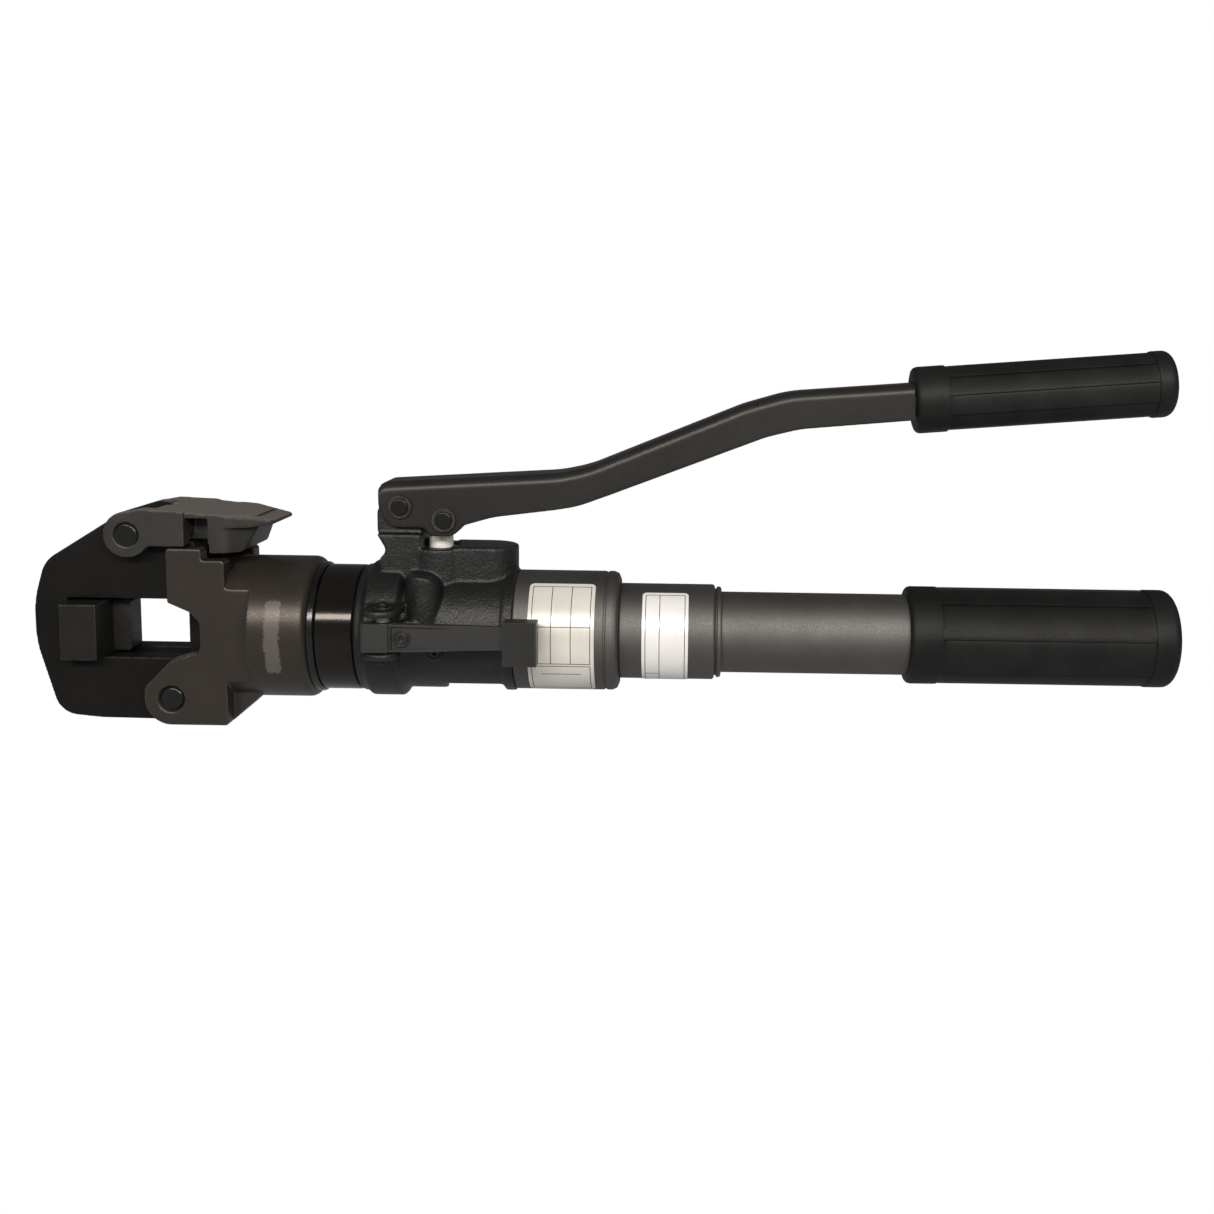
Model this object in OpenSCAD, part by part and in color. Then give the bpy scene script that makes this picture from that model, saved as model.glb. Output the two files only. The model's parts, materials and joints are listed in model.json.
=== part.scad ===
// Hand-pumped hydraulic guillotine cutter with a swing-open jaw and a swivelling head.
// X runs along the tool from the head (-X) to the grips (+X), Z is up, the release lever is on -Y.
// The origin is on the tool's axis, midway along the bare handle tube. Millimetres.

/* [Handle] */
// Length of the bare handle tube between the socket ring and the grip
tube_bare = 85; // [60:1:140]
// Outer radius of the handle tube
tube_r = 18.6; // [17:0.1:20]
// Length of the main grip
grip_len = 122; // [100:0.5:150]
// Outer radius of the main grip
grip_r = 22.5; // [21:0.1:26]

/* [Reservoir] */
// Length of the handle socket behind the reservoir
socket_len = 43.5; // [30:0.5:60]
// Outer radius of the handle socket
socket_r = 21.9; // [21:0.1:24]
// Length of the oil reservoir
reservoir_len = 47; // [40:0.5:70]
// Outer radius of the oil reservoir
reservoir_r = 27.4; // [26.5:0.1:30]

/* [Cylinder] */
// Length of the pump body along the tool
body_len = 70.5; // [69:0.5:75]
// Radius of the polished cylinder barrel
barrel_r = 28.7; // [28:0.1:30]
// Radius of the piston bore
bore_r = 19; // [18:0.1:20]
// Length of barrel that shows between pump body and head
barrel_show = 17; // [15:0.5:25]
// Stroke of the moving blade
stroke = 24.4; // [20:0.1:24.6]

/* [Head] */
// Outer radius of the head's round flange
flange_r = 32.4; // [31:0.1:34]
// Half thickness of the head over its two cheeks
cheek_half = 25; // [23:0.5:27]
// Half thickness of the jaw
jaw_half = 16.3; // [15:0.1:17]
// Height of the window's top edge above the axis
window_top = 14.5; // [13:0.1:16]
// Depth of the window's floor below the axis
window_floor = 12.3; // [11:0.1:14]

/* [Blades] */
// Half thickness of both blades
blade_half = 6.15; // [5:0.05:6.3]
// Side clearance of the moving blade in the jaw's groove
blade_gap = 0.4; // [0.3:0.05:0.8]

/* [Pump] */
// Radius of the pump plunger
plunger_r = 5.4; // [5:0.1:6]
// Half width of the lever's channel over the pivot
lever_half = 13.5; // [13:0.1:14.5]
// Wall of the lever's channel
lever_wall = 3; // [2.5:0.1:3.2]
// Radius of the lever's grip
lever_grip_r = 15.1; // [14:0.1:17]
// Length of the lever's grip
lever_grip_len = 116.5; // [100:0.5:130]

/* [Hidden] */
$fn = 64;
fit = 0.05;

black = [0.10, 0.10, 0.10];
dark_steel = [0.20, 0.19, 0.18];
lever_grey = [0.17, 0.17, 0.17];
bright = [0.75, 0.75, 0.76];
brass = [0.75, 0.60, 0.30];
rubber = [0.06, 0.06, 0.06];
plate_metal = [0.80, 0.79, 0.74];

// Stations along the tool, from the grips to the head
grip_x = tube_bare / 2;
ring_x = -tube_bare / 2;
ring_len = 3;
socket_x1 = ring_x - ring_len;
socket_x0 = socket_x1 - socket_len;
body_x1 = socket_x0 - reservoir_len;
body_x0 = body_x1 - body_len;
barrel_x0 = body_x0 - barrel_show;
dust_seal_w = 3;
flange_x1 = barrel_x0 - dust_seal_w;
flange_x0 = flange_x1 - 36.9;
neck_x0 = flange_x1 - 16.5;
slot_x = flange_x0 - 0.6;
guide_x1 = slot_x + 8;
piston_x1 = body_x0 + 7.5;
piston_len = 11;
rod_r = 11;
rod_x0 = slot_x - 8;

// Hinge of the jaw, and pivot of the latch
hinge = [flange_x0 - 25.2, -29.2];
hinge_lobe_r = 12;
pin_r = 5.4;
latch_pivot = [flange_x0 - 42.9, 44.8];
latch_lobe_r = 10.2;
slot_half = jaw_half + 0.35;
ear_x1 = latch_pivot.x + 25.6;
latch_top = 56.2;
hook_x0 = latch_pivot.x + 36;
hook_x1 = hook_x0 + 15;
hook_half = 23.5;
tip_x = hook_x0 + 26.8;

// Cheeks
horn_top = 39;
cheek_x0 = flange_x0 - 25.8;
horn_x1 = flange_x0 - 10;
step_top = 33.8;

// Blades
anvil_x0 = flange_x0 - 74.1;
anvil_x1 = anvil_x0 + 16.3;
fixed_x1 = anvil_x1 + 7.9;
edge_x = fixed_x1 + 0.3 + stroke;
blade_bottom = -13.4;
blade_top = 12;
groove_floor = -18;
heel_r = 17.5;

// Pump
plunger_x = body_x1 - 35.5;
fulcrum = [body_x1 - 51.5, 57.7];
drive_pin = [body_x1 - 32, 52];
fulcrum_r = 3.75;
drive_pin_r = 3.9;
gland_r = 8.5;
housing_top = 38.7;
boss_x = body_x1 - 13.3;
boss_r = 13.3;
boss_top = 39.5;
tower_half = lever_half - lever_wall - 0.3;
drum_r = 27.4;

// Release lever
release_pivot = [body_x0 + 16, -37];
release_pin_r = 2.4;
stem = [body_x0 + 24.7, 3.6];
stem_r = 2.5;
port_x = body_x0 + 30.8;
port_top = 28.4;
lug_top = [12.9, 15.8];
lug_r = 7.8;
lug_low = [-5.7, -3.0];

function unit(v) = v / norm(v);
// Points of the arc of radius r that rounds corner b between a and c
function corner(a, b, c, r, n) =
    let (u = unit(a - b), v = unit(c - b), half = acos(u * v) / 2)
    let (p = b + u * r / tan(half), q = b + v * r / tan(half), m = b + unit(u + v) * r / sin(half))
    let (start = atan2(p.y - m.y, p.x - m.x), stop = atan2(q.y - m.y, q.x - m.x))
    let (sweep = (stop - start + 540) % 360 - 180)
    r == 0 ? [b] : [for (i = [0:n]) m + r * [cos(start + sweep * i / n), sin(start + sweep * i / n)]];
// An outline of [x, y, corner radius] points as a plain polygon
function rounded(pts, n = 8) = let (k = len(pts)) [for (i = [0:k - 1])
    let (a = pts[(i + k - 1) % k], b = pts[i], c = pts[(i + 1) % k])
    each corner([a.x, a.y], [b.x, b.y], [c.x, c.y], b.z, n)];

module xcyl(r, x0, x1, y = 0, z = 0) translate([x0, y, z]) rotate([0, 90, 0]) cylinder(r = r, h = x1 - x0);
module ycyl(r, y0, y1, at) translate([at.x, y0, at.y]) rotate([-90, 0, 0]) cylinder(r = r, h = y1 - y0);
module zcyl(r, z0, z1, x, y = 0) translate([x, y, z0]) cylinder(r = r, h = z1 - z0);
module box(x0, x1, y0, y1, z0, z1) translate([x0, y0, z0]) cube([x1 - x0, y1 - y0, z1 - z0]);
// A side outline in X and Z, drawn through from y0 to y1
module slab(y0, y1) translate([0, y1, 0]) rotate([90, 0, 0]) linear_extrude(y1 - y0) children();
// A profile of [x, radius] points turned about the tool's axis
module turned(profile) rotate([0, 90, 0]) rotate_extrude($fn = 128) polygon([for (p = profile) [p.y, p.x]]);
module xring(r_out, r_in, x0, x1)
    turned([[x0, r_in], [x1, r_in], [x1, r_out], [x0, r_out]]);
// A coil spring along Z from the origin
module coil(r, wire, length, turns, sides = 6, steps = 14) {
    last = turns * steps;
    points = [for (i = [0:last], k = [0:sides - 1])
        let (turn = 360 * i / steps, out = r + wire * cos(360 * k / sides))
        [out * cos(turn), out * sin(turn),
            wire + (length - 2 * wire) * i / last + wire * sin(360 * k / sides)]];
    sides_faces = [for (i = [0:last - 1], k = [0:sides - 1])
        [i * sides + k, (i + 1) * sides + k,
            (i + 1) * sides + (k + 1) % sides, i * sides + (k + 1) % sides]];
    caps = [[for (k = [0:sides - 1]) k], [for (k = [sides - 1:-1:0]) last * sides + k]];
    polyhedron(points = points, faces = concat(sides_faces, caps), convexity = 8);
}

// ---------------------------------------------------------------- pump unit

// Side outline of the tower that carries the lever's fulcrum
module tower_outline() polygon(rounded([
    [fulcrum.x - 11.2, fulcrum.y + 2.5, 6], [fulcrum.x + 9.2, fulcrum.y + 2.5, 1],
    [fulcrum.x + 9.2, 15, 0], [fulcrum.x - 5, 15, 0], [fulcrum.x - 10.1, 33.5, 3],
    [fulcrum.x - 6.3, 37.6, 3], [fulcrum.x - 11.2, 46, 3]]));

module pump_body() color(black) {
    difference() {
        union() {
            turned([[body_x0, 0], [body_x0, 27.8], [body_x0 + 1.2, 29], [body_x0 + 3.5, 29.3],
                [body_x0 + 5.5, 31.2], [body_x0 + 19, 31.2], [body_x0 + 21.5, drum_r],
                [body_x1 - 5, drum_r], [body_x1 - 4.5, 28.2], [body_x1, 28.2],
                [body_x1, 20], [body_x1 + 8, 20], [body_x1 + 8, 0]]);
            zcyl(16, 0, housing_top, plunger_x);
            zcyl(boss_r, 0, boss_top, boss_x);
            box(plunger_x + 6, boss_x, -boss_r, boss_r, 0, boss_top);
            slab(-tower_half, tower_half) {
                tower_outline();
                translate(fulcrum) circle(r = 7.8);
            }
            intersection() {
                slab(-14, 14) tower_outline();
                box(fulcrum.x - 12, fulcrum.x + 9.2, -14, 14, 10, 45.2);
            }
            for (lug = [lug_top, lug_low]) {
                zcyl(lug_r, lug.x, lug.y, release_pivot.x - 1, release_pivot.y);
                box(release_pivot.x - 1 - lug_r, release_pivot.x - 1 + lug_r,
                    release_pivot.y, -18, lug.x, lug.y);
            }
            intersection() {
                slab(-30, -8) polygon(rounded([[port_x - 9, 0, 0], [port_x - 9, port_top, 2],
                    [port_x + 8, port_top, 8.5], [port_x + 8, 0, 0]]));
                zcyl(8.2, 0, port_top, port_x, -20.3);
            }
            ycyl(5.5, -29.2, -15, stem);
            ycyl(3.6, -28.8, -15, [plunger_x + 1.6, -5.8]);
        }
        box(plunger_x + 3.5, body_x1 - 5, -40, 40, -40, -22.6);
        xcyl(24, body_x0 - 1, body_x0 + 14);
        xcyl(2.5, body_x0 + 13, plunger_x, 0, 8);
        xcyl(3.2, body_x0 + 13, body_x0 + 27, 0, 8);
        ycyl(fulcrum_r, -15, 15, fulcrum);
        zcyl(plunger_r + fit, 4, 41, plunger_x);
        zcyl(gland_r, 28, 41, plunger_x);
        zcyl(7, 25.6, 28.1, plunger_x);
        zcyl(1.6, -4, 5, plunger_x);
        zcyl(4, -30, -3.9, plunger_x);
        xcyl(2.2, plunger_x, body_x1 + 9, 0, -12);
        ycyl(stem_r + fit, -31, -16, stem);
        ycyl(3, -16.1, -4, stem);
        ycyl(4, 6, 30, [boss_x - 1, 6]);
        ycyl(1.5, -1, 6.1, [boss_x - 1, 6]);
        xcyl(1.4, plunger_x, boss_x - 1, 0, 6);
        ycyl(2, -30, -20, [plunger_x + 1.6, -5.8]);
        for (lug = [lug_top, lug_low]) {
            zcyl(release_pin_r, lug.x - 1, lug.y + 1, release_pivot.x, release_pivot.y);
        }
    }
}

module cylinder_barrel() color([0.05, 0.05, 0.05])
    turned([[body_x0 + 14, 0], [body_x0 + 14, 23.9], [body_x0 + 6.4, 23.9], [body_x0 + 6.4, 22.3],
        [body_x0 + 4, 22.3], [body_x0 + 4, 23.9], [body_x0, 23.9], [body_x0, barrel_r - 0.6],
        [body_x0 - 0.6, barrel_r], [barrel_x0 + 0.6, barrel_r], [barrel_x0, barrel_r - 0.6],
        [barrel_x0, 26 - fit], [neck_x0 + 6, 26 - fit], [neck_x0 + 6, 24.4], [neck_x0 + 3.4, 24.4],
        [neck_x0 + 3.4, 26 - fit], [neck_x0, 26 - fit], [neck_x0, bore_r], [body_x0 + 8.5, bore_r],
        [body_x0 + 8.5, 3], [body_x0 + 11, 3], [body_x0 + 11, 0]]);

module barrel_seal() color(rubber) xring(23.95, 22.3, body_x0 + 4, body_x0 + 6.4);

module reservoir_shell() color(dark_steel)
    turned([[body_x1, 25.4], [body_x1, reservoir_r - 0.5], [body_x1 + 0.5, reservoir_r],
        [socket_x0 - 6.5, reservoir_r], [socket_x0 - 6.5, reservoir_r - 0.5],
        [socket_x0 - 5.5, reservoir_r - 0.5],
        [socket_x0 - 5.5, reservoir_r], [socket_x0 - 3, reservoir_r], [socket_x0 - 0.9, reservoir_r - 0.9],
        [socket_x0, reservoir_r - 3], [socket_x0, 18.2], [socket_x0 - 6, 18.2], [socket_x0 - 6, 23.8],
        [body_x1 + 1.5, 23.8], [body_x1 + 1.5, 25.4]]);

module reservoir_seal() color(rubber) xring(25.2, 23.9, body_x1, body_x1 + 1.5);

module reservoir_bladder() color(rubber)
    turned([[body_x1 + 2, 20], [body_x1 + 2, 21.5], [socket_x0 - 9, 21.5], [socket_x0 - 7, 15.5],
        [ring_x - 6, 15.5], [ring_x - 2, 11], [ring_x - 2, 0], [ring_x - 3.5, 0], [ring_x - 3.5, 10],
        [ring_x - 7, 14], [socket_x0 - 7.6, 14], [socket_x0 - 10, 20]]);

module bladder_clamp() color(bright) xring(23.2, 21.5, body_x1 + 3, body_x1 + 7);

module suction_filter() color(brass) xring(3.4, 2.2, body_x1 + 8, body_x1 + 18);

module handle_socket() color(dark_steel)
    turned([[socket_x0 - 6, 16.4], [socket_x0 - 6, 18.2], [socket_x0, 18.2], [socket_x0, socket_r - 0.6],
        [socket_x0 + 0.6, socket_r], [socket_x1 - 0.8, socket_r], [socket_x1, socket_r - 0.8],
        [socket_x1, tube_r], [socket_x0 + 8, tube_r], [socket_x0 + 8, 16.4]]);

module socket_ring() color(dark_steel)
    turned([[socket_x1, tube_r], [socket_x1, 20], [socket_x1 + 0.8, 20], [socket_x1 + 1, 20.9],
        [ring_x - 0.6, 20.9], [ring_x, 20.3], [ring_x, tube_r]]);

module handle_tube() color(dark_steel) xring(tube_r, tube_r - 2.5, socket_x0 + 8, grip_x + grip_len - 11);

module tube_plug() color(bright)
    xcyl(tube_r - 2.5, grip_x + grip_len - 25, grip_x + grip_len - 11);

module main_grip() color(rubber)
    turned([[grip_x, tube_r], [grip_x, grip_r - 0.8], [grip_x + 0.8, grip_r], [grip_x + 14, grip_r],
        [grip_x + 14.6, grip_r - 0.3], [grip_x + grip_len - 12.6, grip_r - 0.3],
        [grip_x + grip_len - 12, grip_r],
        [grip_x + grip_len - 3.5, grip_r], [grip_x + grip_len - 1, grip_r - 1],
        [grip_x + grip_len, grip_r - 3.5],
        [grip_x + grip_len, 0], [grip_x + grip_len - 11, 0], [grip_x + grip_len - 11, tube_r]]);

// A thin plate wrapped on a round surface, from angle a0 to a1 above the -Y side
module wrapped_plate(r, x0, x1, a0, a1)
    rotate([0, 90, 0]) rotate([0, 0, -90 - a1])
        rotate_extrude(angle = a1 - a0, $fn = 128) translate([r, x0]) square([0.3, x1 - x0]);

module rating_plate() color(plate_metal)
    wrapped_plate(reservoir_r, body_x1 + 7, socket_x0 - 10.4, -64, 60);

module caution_plate() color(plate_metal)
    wrapped_plate(socket_r, socket_x0 + 10.6, socket_x0 + 31.4, -74, 63);

module fulcrum_pin() color(dark_steel) ycyl(fulcrum_r, -lever_half - 2.4, lever_half + 2.4, fulcrum);

module fulcrum_clips() color(dark_steel) for (side = [-1, 1]) {
    difference() {
        ycyl(5.2, side * (lever_half + 1) - 0.5, side * (lever_half + 1) + 0.5, fulcrum);
        ycyl(fulcrum_r, -20, 20, fulcrum);
    }
}

module plunger_gland() color(dark_steel) difference() {
    zcyl(gland_r, 28, 38.2, plunger_x);
    zcyl(plunger_r + fit, 20, 45, plunger_x);
}

module plunger_seal() color(rubber) difference() {
    zcyl(7, 25.7, 27.9, plunger_x);
    zcyl(plunger_r + fit, 20, 45, plunger_x);
}

module valve_balls() color(bright) {
    translate([plunger_x, 0, -6.36]) sphere(r = 2.9);
    translate([body_x0 + 24.2, 0, 8]) sphere(r = 2.7);
}

module valve_springs() color(bright) {
    translate([plunger_x, 0, -16]) coil(2.6, 0.4, 7, 4);
    translate([body_x0 + 15, 0, 8]) rotate([0, 90, 0]) coil(2.2, 0.4, 6.4, 4);
}

module valve_plugs() color(dark_steel) {
    zcyl(4, -25.5, -16, plunger_x);
    difference() {
        xcyl(3.2, body_x0 + 14, body_x0 + 15, 0, 8);
        xcyl(1.4, body_x0 + 13, body_x0 + 16, 0, 8);
    }
}

module relief_poppet() color(bright) translate([boss_x - 1, 6.2, 6]) rotate([-90, 0, 0]) {
    cylinder(r1 = 1.2, r2 = 3.2, h = 2.4);
    translate([0, 0, 2.4]) cylinder(r = 3.2, h = 2);
}

module relief_spring() color(bright)
    translate([boss_x - 1, 10.7, 6]) rotate([-90, 0, 0]) coil(2.8, 0.5, 8.2, 5);

module relief_adjuster() color(dark_steel) difference() {
    ycyl(4, 19, 26.4, [boss_x - 1, 6]);
    translate([boss_x - 1, 23.5, 6]) rotate([-90, 0, 0]) cylinder(r = 2.2, h = 4, $fn = 6);
}

module release_ball() color(bright) translate([stem.x, -15.45, stem.y]) sphere(r = 2.6);

module release_ball_spring() color(bright)
    translate([stem.x, -13.8, stem.y]) rotate([-90, 0, 0]) coil(2.2, 0.4, 9.6, 6);

module release_pivot_pin() color(dark_steel)
    zcyl(release_pin_r, lug_low.x - 2.8, lug_top.y + 2.8, release_pivot.x, release_pivot.y);

module release_pivot_clips() color(dark_steel)
    for (z = [lug_low.x - 1, lug_top.y + 0.2]) {
        difference() {
            zcyl(4.1, z, z + 0.8, release_pivot.x, release_pivot.y);
            zcyl(release_pin_r, z - 1, z + 2, release_pivot.x, release_pivot.y);
        }
    }

module release_torsion_spring() color(bright) difference() {
    zcyl(3.5, 10.5, 12.5, release_pivot.x, release_pivot.y);
    zcyl(release_pin_r + 0.4, 10, 15, release_pivot.x, release_pivot.y);
}

module filler_screw() color(dark_steel) difference() {
    ycyl(2, -28.4, -21, [plunger_x + 1.6, -5.8]);
    translate([plunger_x + 1.6, -28.5, -5.8]) rotate([-90, 0, 0]) cylinder(r = 1, h = 2, $fn = 6);
}

// ---------------------------------------------------------------- head

// Side outline of one cheek
module cheek_outline() {
    polygon(rounded([
        [hinge.x - hinge_lobe_r, hinge.y, 0], [hinge.x - hinge_lobe_r, hinge.y + 5, 5],
        [cheek_x0 + 0.6, -11.8, 2], [horn_x1 - 3, -7.8, 1.5], [horn_x1 - 1.6, -5.5, 2],
        [horn_x1 - 1.6, 5.5, 4],
        [horn_x1 - 6, 10.4, 3], [cheek_x0, 14.6, 1], [cheek_x0, horn_top, 1.5], [horn_x1, horn_top, 1.2],
        [horn_x1, step_top, 0.8], [flange_x0, step_top, 1.5], [flange_x0, 21.3, 0],
        [flange_x0 + 1, 21.3, 0],
        [flange_x0 + 1, -21.3, 0], [flange_x0, -21.3, 0], [flange_x0, hinge.y - hinge_lobe_r, 1],
        [hinge.x, hinge.y - hinge_lobe_r, 0]]));
    translate(hinge) circle(r = hinge_lobe_r);
}

module head_yoke() color(dark_steel) difference() {
    union() {
        for (side = [-1, 1]) {
            y = side * (cheek_half + slot_half) / 2;
            slab(y - (cheek_half - slot_half) / 2, y + (cheek_half - slot_half) / 2) cheek_outline();
        }
        difference() {
            turned(rounded([[slot_x, 0, 0], [slot_x, flange_r - 1, 0], [flange_x0 + 0.6, flange_r, 0],
                [flange_x1, flange_r, 4], [flange_x1, 0, 0]]));
            for (side = [-1, 1]) {
                translate([slot_x - 1, side * (cheek_half + 10) - 10, -40]) cube([12.5, 20, 80]);
            }
        }
        slab(-slot_half, slot_half) polygon([[slot_x, -20], [slot_x, hinge.y - hinge_lobe_r],
            [flange_x0 + 14, -28], [flange_x0 + 14, -20]]);
    }
    xcyl(26, neck_x0 - 0.3, flange_x1 + 1);
    xcyl(27.4, neck_x0 + 3.6, neck_x0 + 5.8);
    xcyl(bore_r + 0.4, guide_x1, flange_x1 + 1);
    xcyl(13.5, slot_x - 1, guide_x1 + 1);
    for (side = [-1, 1]) {
        ycyl(pin_r, side * 30 - 20, side * 30 + 20, hinge);
        ycyl(6.1, side * (cheek_half + 4) - 5.2, side * (cheek_half + 4) + 5.2, hinge);
    }
}

module dust_seal() color(rubber) turned([[barrel_x0, 26 + fit], [barrel_x0, 29.2],
    [barrel_x0 - 1, 29.8], [flange_x1, 29.8], [flange_x1, 26 + fit]]);

module retaining_ring() color(bright) xring(27.4, 24.8, neck_x0 + 3.7, neck_x0 + 5.7);

module rod_bush() color(brass) xring(13.5, rod_r + fit, slot_x, guide_x1);

module return_spring() color(bright)
    translate([guide_x1, 0, 0]) rotate([0, 90, 0])
        coil(15.2, 1.5, piston_x1 - piston_len - guide_x1, 6, 8, 20);

module hinge_pin() color(dark_steel) translate([hinge.x, 0, hinge.y]) rotate([90, 0, 0])
    rotate_extrude($fn = 96) polygon([[0, -24.4], [pin_r - 0.9, -24.4], [pin_r, -23.6], [pin_r, 23.6],
        [pin_r - 0.9, 24.4], [0, 24.4]]);

// ---------------------------------------------------------------- ram

module ram_piston() color(bright) difference() {
    turned([[rod_x0, 0], [rod_x0, rod_r - 1], [rod_x0 + 1, rod_r], [piston_x1 - piston_len, rod_r],
        [piston_x1 - piston_len, bore_r - fit], [piston_x1 - 8, bore_r - fit],
        [piston_x1 - 8, bore_r - 2.5],
        [piston_x1 - 4, bore_r - 2.5], [piston_x1 - 4, bore_r - fit], [piston_x1, bore_r - fit],
        [piston_x1, 0]]);
    box(rod_x0 - 1, rod_x0 + 12, -blade_half, blade_half, -8, 8);
    ycyl(2, -12, 12, [rod_x0 + 5, 0]);
}

module piston_seal() color(rubber) xring(bore_r - 0.02, bore_r - 2.5, piston_x1 - 8, piston_x1 - 4);

module moving_blade() color([0.30, 0.30, 0.31]) difference() {
    union() {
        intersection() {
            slab(-blade_half, blade_half) polygon([[edge_x, blade_bottom], [rod_x0, blade_bottom],
                [rod_x0, blade_top], [edge_x + 4, blade_top], [edge_x, blade_top - 3]]);
            translate([0, 0, -20]) linear_extrude(40)
                polygon([[edge_x, -0.25], [edge_x + 9, -blade_half], [rod_x0, -blade_half],
                    [rod_x0, blade_half], [edge_x + 9, blade_half], [edge_x, 0.25]]);
        }
        box(rod_x0 - 1, rod_x0 + 12, -blade_half, blade_half, -8, 8);
    }
    ycyl(2, -12, 12, [rod_x0 + 5, 0]);
}

module blade_pin() color(dark_steel) ycyl(2, -10.4, 10.4, [rod_x0 + 5, 0]);

// ---------------------------------------------------------------- jaw

module jaw_outline() {
    lug = latch_pivot;
    slope = 32.3;
    top = lug + latch_lobe_r * [-sin(slope), cos(slope)];
    polygon(rounded([
        [horn_x1 - 5.7, 41, 2], [lug.x, 41, 0], [lug.x, lug.y, 0], [top.x, top.y, 0],
        [top.x - 35.3, top.y - 35.3 * tan(slope), 14], [anvil_x0 - 14.8, 13, 45],
        [anvil_x0 - 14.6, -6, 45], [anvil_x0 - 5, -39, 11], [anvil_x0 + 13, -40.7, 30],
        [hinge.x, hinge.y - hinge_lobe_r, 0], [hinge.x, -window_floor, 0],
        [anvil_x0, -window_floor, 0], [anvil_x0, window_top, 0], [horn_x1 - 5.7, window_top, 1.5]]));
    translate(lug) circle(r = latch_lobe_r);
    translate(hinge) circle(r = hinge_lobe_r);
    intersection() {
        translate(hinge) circle(r = heel_r);
        translate(hinge) square([20, -window_floor - hinge.y]);
    }
}

module jaw() color(black) difference() {
    slab(-jaw_half, jaw_half) jaw_outline();
    box(anvil_x1, hinge.x + 30, -blade_half - blade_gap, blade_half + blade_gap, groove_floor, 0);
    slab(-blade_half - blade_gap, blade_half + blade_gap) difference() {
        translate(hinge) square([20, 20]);
        translate(hinge) circle(r = blade_bottom - hinge.y - 0.6);
    }
    ycyl(pin_r + fit, -20, 20, hinge);
    ycyl(pin_r, -20, 20, latch_pivot);
    for (z = [-7, 7]) {
        xcyl(2.6, anvil_x0 - 8, anvil_x0 + 1, 0, z);
    }
}

module anvil_block() color(dark_steel) difference() {
    box(anvil_x0, anvil_x1, -cheek_half, cheek_half, -window_floor, 13);
    box(anvil_x1 - 5, anvil_x1 + 1, -blade_half, blade_half, -11.7, 11.8);
    for (z = [-7, 7]) {
        xcyl(2.6, anvil_x0 - 1, anvil_x1, 0, z);
    }
}

module fixed_blade() color([0.30, 0.30, 0.31]) difference() {
    slab(-blade_half, blade_half) polygon([[anvil_x1 - 5, -11.7], [fixed_x1 - 0.8, -11.7],
    [fixed_x1, -10.9],
        [fixed_x1, 11], [fixed_x1 - 0.8, 11.8], [anvil_x1 - 5, 11.8]]);
    for (z = [-7, 7]) {
        xcyl(2.6, anvil_x1 - 6, anvil_x1, 0, z);
    }
}

module anvil_screws() color(bright) for (z = [-7, 7]) {
    xcyl(2.6, anvil_x0 - 8, anvil_x1, 0, z);
}

module latch_pin() color(dark_steel) translate([latch_pivot.x, 0, latch_pivot.y]) rotate([90, 0, 0])
    rotate_extrude($fn = 96) polygon([[0, -25.6], [pin_r - 0.9, -25.6], [pin_r, -24.8], [pin_r, 24.8],
        [pin_r - 0.9, 25.6], [0, 25.6]]);

// ---------------------------------------------------------------- latch

// Plan of the latch's hook or thumb plate: full width at the hook, tip_half wide at its end
module latch_plan(bend_x, tip_x, tip_half, r) translate([0, 0, 30]) linear_extrude(30)
    polygon(rounded([[hook_x0 - 3, -hook_half, 0], [bend_x, -hook_half, 7], [tip_x, -tip_half, r],
        [tip_x, tip_half, r], [bend_x, hook_half, 7], [hook_x0 - 3, hook_half, 0]]));

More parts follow.
